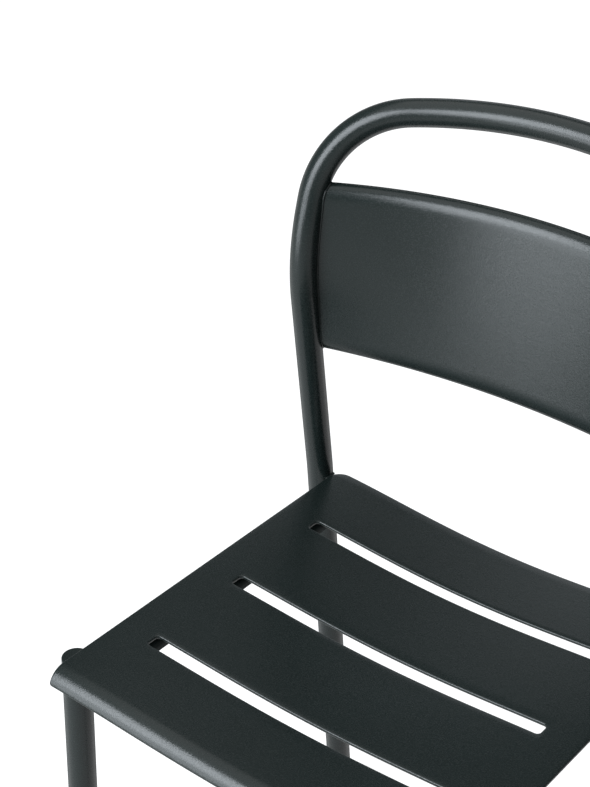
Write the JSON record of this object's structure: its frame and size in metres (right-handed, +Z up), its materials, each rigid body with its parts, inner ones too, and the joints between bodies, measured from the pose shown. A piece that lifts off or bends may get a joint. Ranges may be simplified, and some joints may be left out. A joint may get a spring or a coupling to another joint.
{
  "type": "side chair",
  "caption": "Side chair of powder-coated steel: bent round tube back hoop, dished seat sheet with long cross slots, bowed back panel, straight tube legs.",
  "frame": {"origin": "floor level, under the centre of the overall plan rectangle", "axes": "+X to the right when the chair is seen from its front, +Y to the rear, +Z up"},
  "size_m": [0.4458, 0.4668, 0.8397],
  "materials": {
    "powder_coat": "matt fine-textured powder coat, very dark green-grey",
    "glide_plastic": "matt black moulded plastic"
  },
  "bodies": {
    "root": {"back_hoop": "powder_coat", "seat_sheet": "powder_coat", "back_panel": "powder_coat", "front_leg_left": "powder_coat", "front_leg_right": "powder_coat", "leg_cap_left": "powder_coat", "leg_cap_right": "powder_coat", "front_cross_rail": "powder_coat", "rear_cross_rail": "powder_coat", "side_rail_left": "powder_coat", "side_rail_right": "powder_coat", "foot_glide_front_left": "glide_plastic", "foot_glide_front_right": "glide_plastic", "foot_glide_rear_left": "glide_plastic", "foot_glide_rear_right": "glide_plastic"}
  },
  "joints": []
}
